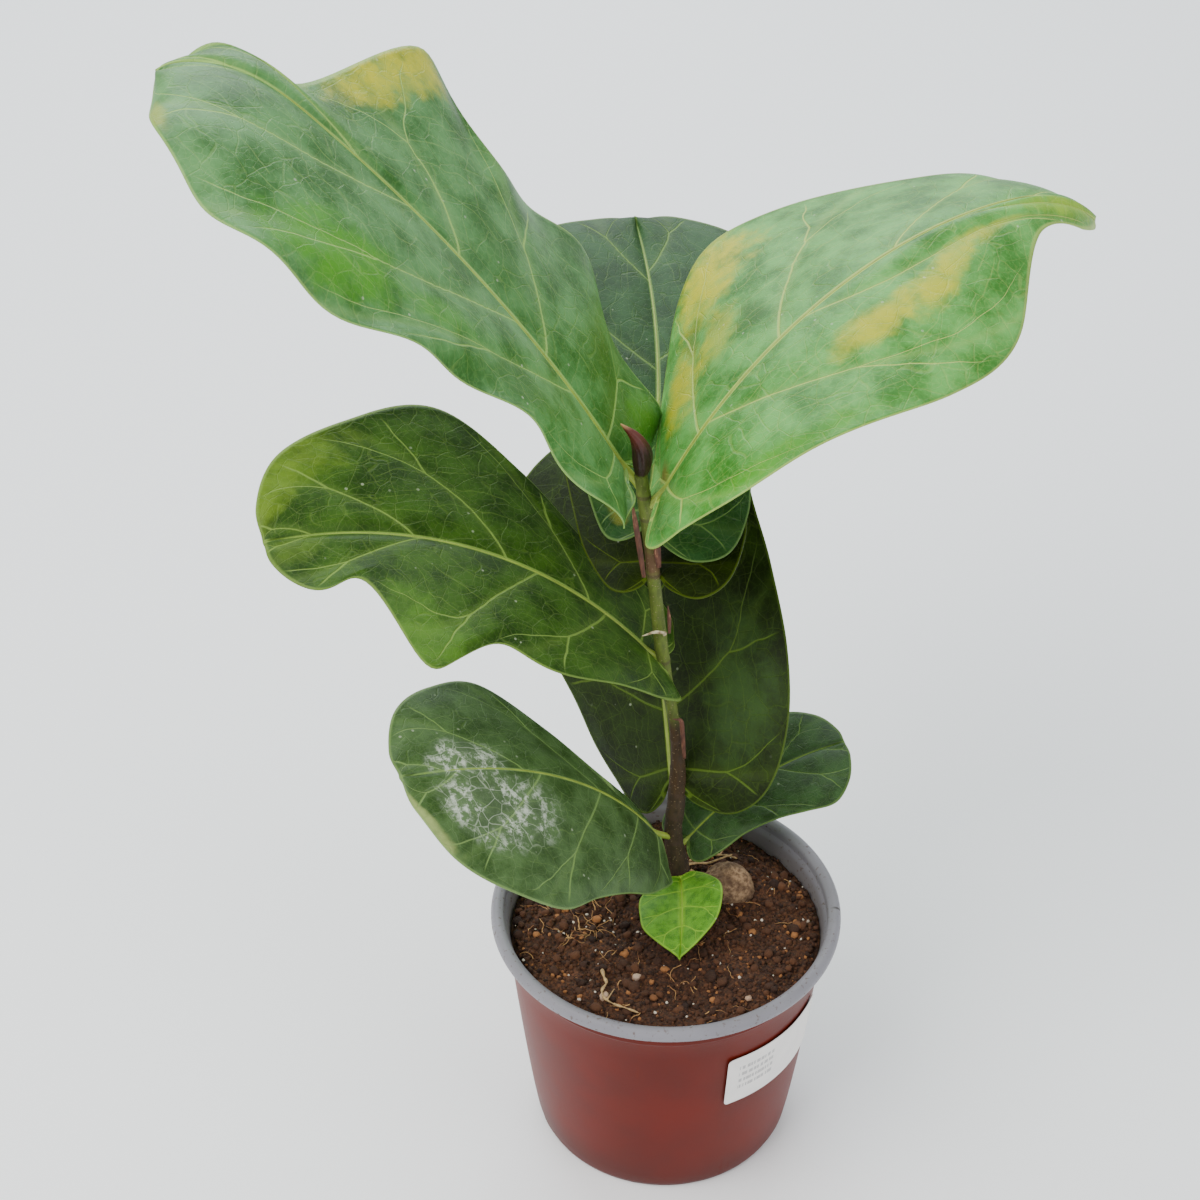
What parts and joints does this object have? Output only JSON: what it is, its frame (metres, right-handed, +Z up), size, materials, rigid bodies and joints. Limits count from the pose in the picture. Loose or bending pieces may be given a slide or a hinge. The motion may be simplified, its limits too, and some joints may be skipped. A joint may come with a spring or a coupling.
{
  "type": "potted fiddle leaf fig",
  "caption": "Young fiddle leaf fig with large fiddle-shaped leaves on one upright stem, growing in soil in a round nursery pot with a rolled rim.",
  "frame": {"origin": "centre of the pot's base, on the surface it stands on", "axes": "+Z up along the pot's axis; +Y towards the back of the plant, away from the viewer; +X to the viewer's right"},
  "size_m": [0.4082, 0.3293, 0.5571],
  "materials": {
    "pot_plastic": "semi-matt terracotta plastic, light grey rim",
    "label_paper": "white paper sticker, blank",
    "potting_soil": "coarse peat and coir crumbs",
    "clod_soil": "hard crumbly lump",
    "bark": "grey-brown bark, green near the top",
    "bud_scale": "smooth brown-purple sheath",
    "dry_scale": "dry papery brown",
    "root_skin": "pale dry root",
    "leaf_blade": "leathery green, glossy above, matt and paler below"
  },
  "bodies": {
    "root": {"pot": "pot_plastic", "label": "label_paper", "soil": "potting_soil", "clod": "clod_soil", "stem": "bark", "bud": "bud_scale", "root_1": "root_skin", "root_2": "root_skin", "leaf_1": "leaf_blade", "leaf_2": "leaf_blade", "leaf_3": "leaf_blade", "leaf_4": "leaf_blade", "leaf_5": "leaf_blade", "leaf_6": "leaf_blade", "leaf_7": "leaf_blade", "leaf_8": "leaf_blade", "leaf_9": "leaf_blade", "scale_1": "dry_scale", "scale_2": "dry_scale", "scale_3": "dry_scale", "scale_4": "dry_scale", "scale_5": "dry_scale"}
  },
  "joints": []
}
